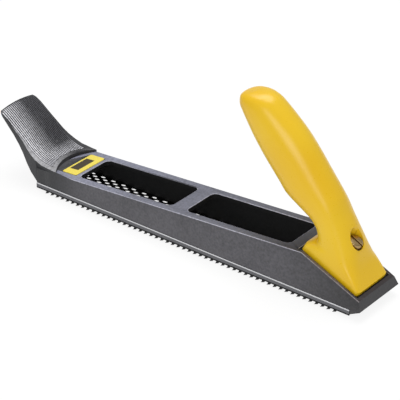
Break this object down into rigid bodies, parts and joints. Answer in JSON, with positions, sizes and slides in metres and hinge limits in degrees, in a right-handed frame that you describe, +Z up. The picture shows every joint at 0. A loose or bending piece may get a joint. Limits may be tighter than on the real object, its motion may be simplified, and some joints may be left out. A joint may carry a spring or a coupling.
{
  "type": "rasp plane",
  "caption": "Long rasp plane: perforated channel blade under a hollow cast body with two chip openings, a knurled thumb rest and one leaning reversible handle.",
  "frame": {"origin": "under the middle of the whole plane, at the level of the tooth tips", "axes": "+X along the blade from the handle to the thumb rest, +Y to the left across the blade, +Z up"},
  "size_m": [0.2924, 0.042, 0.1173],
  "materials": {
    "painted_casting": "dark grey hammered stoving paint, fine grained",
    "handle_plastic": "satin yellow moulded plastic",
    "blade_steel": "blackened spring steel",
    "plated_steel": "yellowish zinc plating",
    "shoe_metal": "bare cast zinc",
    "label": "yellow printed foil, plain dark panel"
  },
  "bodies": {
    "casting": {"body_casting": "painted_casting", "label_plate": "label"},
    "blade": {"blade": "blade_steel"},
    "washer": {"spring_washer": "plated_steel"},
    "handle": {"handle": "handle_plastic"},
    "screw": {"handle_screw": "plated_steel"},
    "shoe": {"tension_shoe": "shoe_metal", "square_nut": "plated_steel"}
  },
  "joints": [
    {"name": "handle_lift", "type": "slide", "parent": "casting", "child": "washer", "axis": [-0.4069, 0, 0.9135], "range_m": [0, 0.08]},
    {"name": "handle_turn", "type": "hinge", "parent": "washer", "child": "handle", "pos_m": [-0.11944, 0, 0.02135], "axis": [-0.4069, 0, 0.9135], "range_deg": [0, 180]},
    {"name": "screw_turn", "type": "hinge", "parent": "handle", "child": "screw", "pos_m": [-0.11944, 0, 0.02135], "axis": [-0.4069, 0, 0.9135], "range_deg": [0, 1080]},
    {"name": "tension_draw", "type": "slide", "parent": "casting", "child": "shoe", "axis": [0.4069, 0, -0.9135], "range_m": [0, 0.003]},
    {"name": "blade_off", "type": "slide", "parent": "casting", "child": "blade", "axis": [0, 0, -1], "range_m": [0, 0.03]}
  ],
  "couplings": [
    {"joint": "handle_turn", "follows": "handle_lift", "rad_per_m": 39.27},
    {"joint": "screw_turn", "follows": "tension_draw", "rad_per_m": 6283.2}
  ]
}
